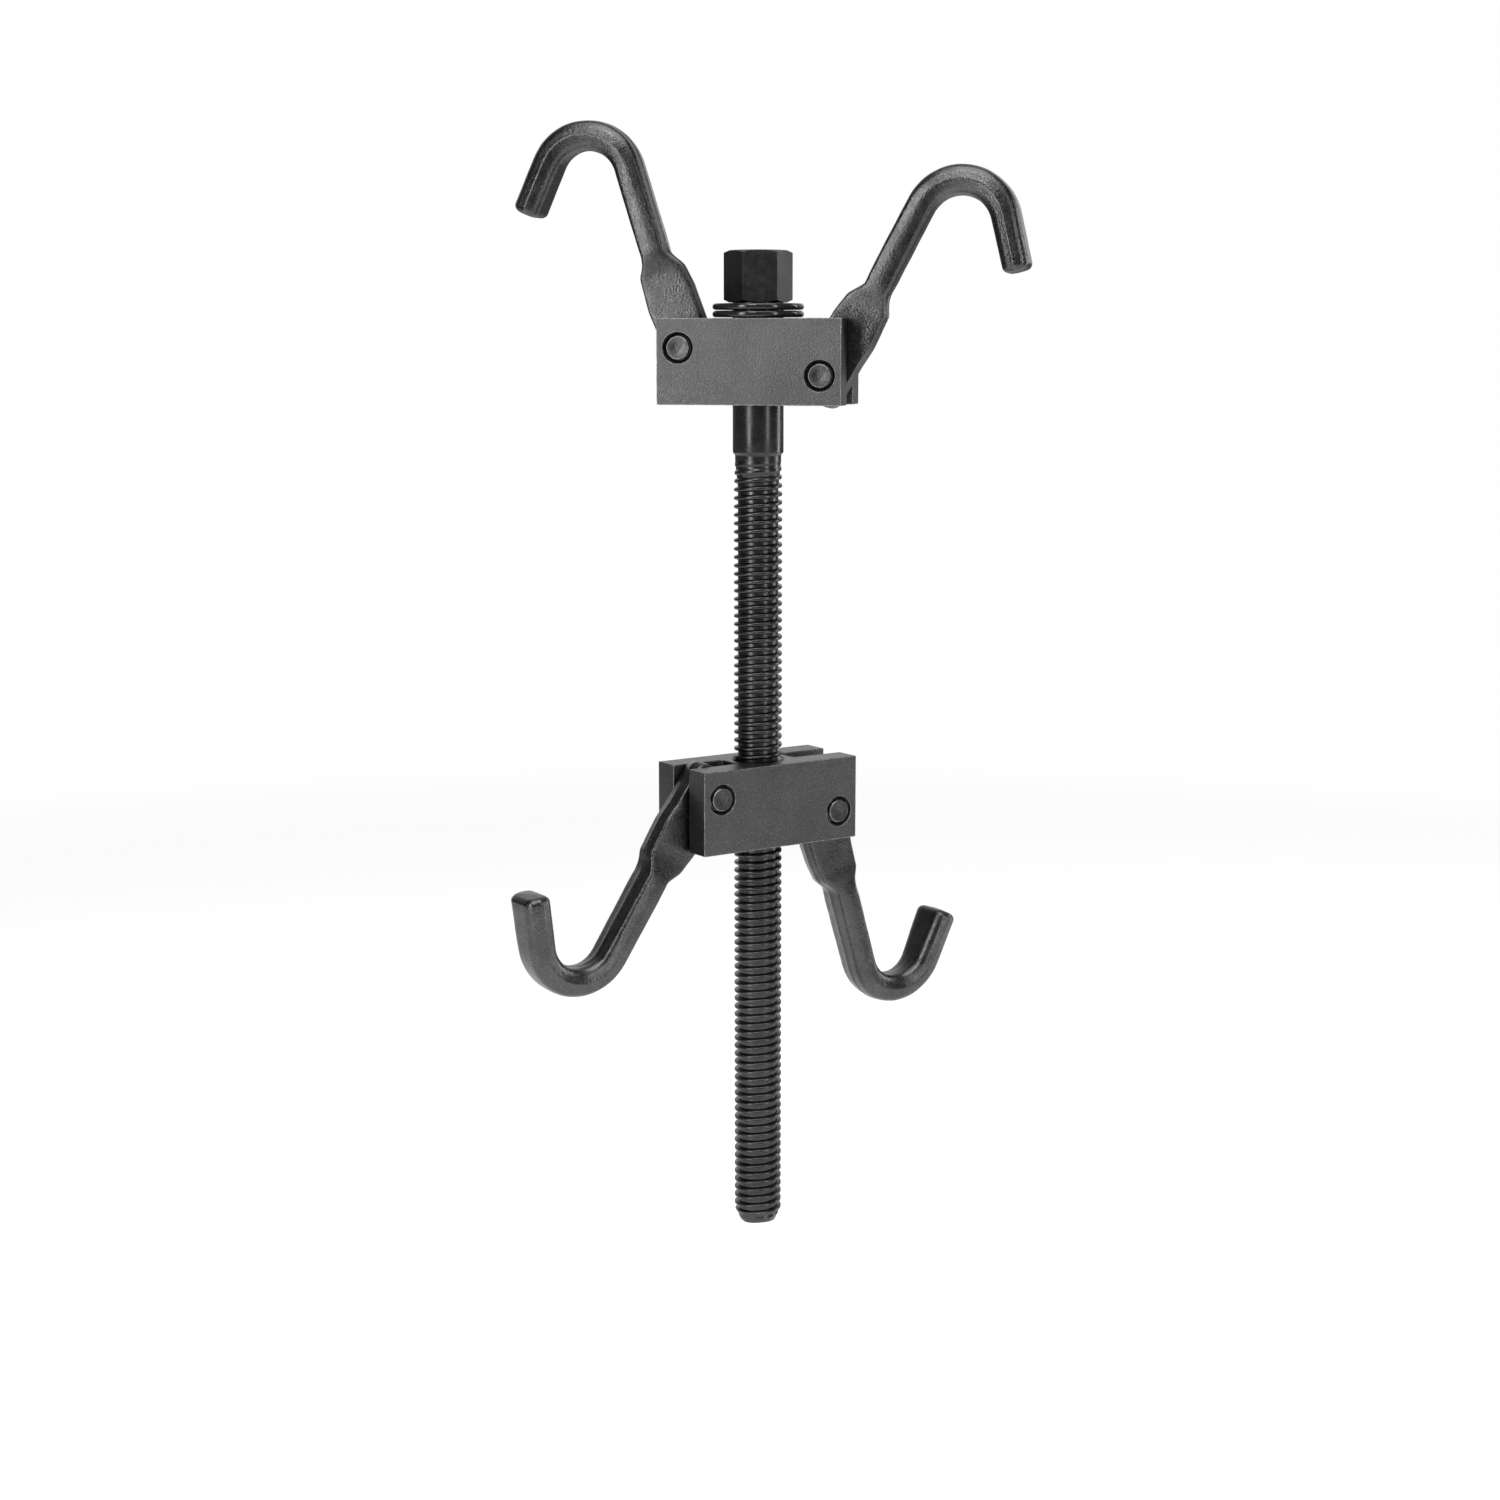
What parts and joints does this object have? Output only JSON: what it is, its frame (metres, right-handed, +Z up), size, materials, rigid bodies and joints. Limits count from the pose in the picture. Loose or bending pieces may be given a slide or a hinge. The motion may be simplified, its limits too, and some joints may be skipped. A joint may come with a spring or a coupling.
{
  "type": "coil spring compressor",
  "caption": "Forcing screw with hex head and thrust washers draws two slotted yokes together; pinned J-shaped hooks on each yoke grip a suspension coil spring from inside.",
  "frame": {"origin": "centre of the forcing screw's flat lower end", "axes": "+Z up along the screw towards its hex head, X along the upper yoke, -Y the side the hook pins are driven in from"},
  "size_m": [0.1941, 0.153, 0.4223],
  "materials": {
    "screw_steel": "gloss",
    "washer_steel": "gloss",
    "yoke_steel": "satin",
    "hook_steel": "satin",
    "pin_steel": "satin"
  },
  "bodies": {
    "upper_yoke": {"upper_yoke": "yoke_steel", "upper_left_pin": "pin_steel", "upper_right_pin": "pin_steel"},
    "screw": {"forcing_screw": "screw_steel"},
    "lower_yoke": {"lower_yoke": "yoke_steel", "lower_left_pin": "pin_steel", "lower_right_pin": "pin_steel"},
    "upper_washer": {"thrust_washer_upper": "washer_steel"},
    "lower_washer": {"thrust_washer_lower": "washer_steel"},
    "upper_left_hook": {"upper_left_hook": "hook_steel"},
    "upper_right_hook": {"upper_right_hook": "hook_steel"},
    "lower_left_hook": {"lower_left_hook": "hook_steel"},
    "lower_right_hook": {"lower_right_hook": "hook_steel"}
  },
  "joints": [
    {"name": "screw_turn", "type": "hinge", "parent": "upper_yoke", "child": "screw", "pos_m": [0, 0, 0.33403], "axis": [0, 0, 1], "range_deg": [-10800, 14400]},
    {"name": "lower_yoke_travel", "type": "slide", "parent": "upper_yoke", "child": "lower_yoke", "axis": [0, 0, 1], "range_m": [-0.12701, 0.09526]},
    {"name": "upper_washer_spin", "type": "hinge", "parent": "screw", "child": "upper_washer", "pos_m": [0, 0, 0.3541], "axis": [0, 0, 1], "continuous": true},
    {"name": "lower_washer_spin", "type": "hinge", "parent": "upper_yoke", "child": "lower_washer", "pos_m": [0, 0, 0.3514], "axis": [0, 0, 1], "continuous": true},
    {"name": "upper_left_hook_swing", "type": "hinge", "parent": "upper_yoke", "child": "upper_left_hook", "pos_m": [-0.02683, 0, 0.33903], "axis": [0, -1, 0], "range_deg": [-14.5, 72.5]},
    {"name": "upper_right_hook_swing", "type": "hinge", "parent": "upper_yoke", "child": "upper_right_hook", "pos_m": [0.02683, 0, 0.32903], "axis": [0, 1, 0], "range_deg": [-25, 62]},
    {"name": "lower_left_hook_swing", "type": "hinge", "parent": "lower_yoke", "child": "lower_left_hook", "pos_m": [-0.01781, -0.02006, 0.17303], "axis": [-0.7478, 0.6639, 0], "range_deg": [-31, 56]},
    {"name": "lower_right_hook_swing", "type": "hinge", "parent": "lower_yoke", "child": "lower_right_hook", "pos_m": [0.01781, 0.02006, 0.16303], "axis": [0.7478, -0.6639, 0], "range_deg": [-14, 73]}
  ],
  "couplings": [
    {"joint": "lower_yoke_travel", "follows": "screw_turn", "m_per_rad": -0.00050532}
  ]
}
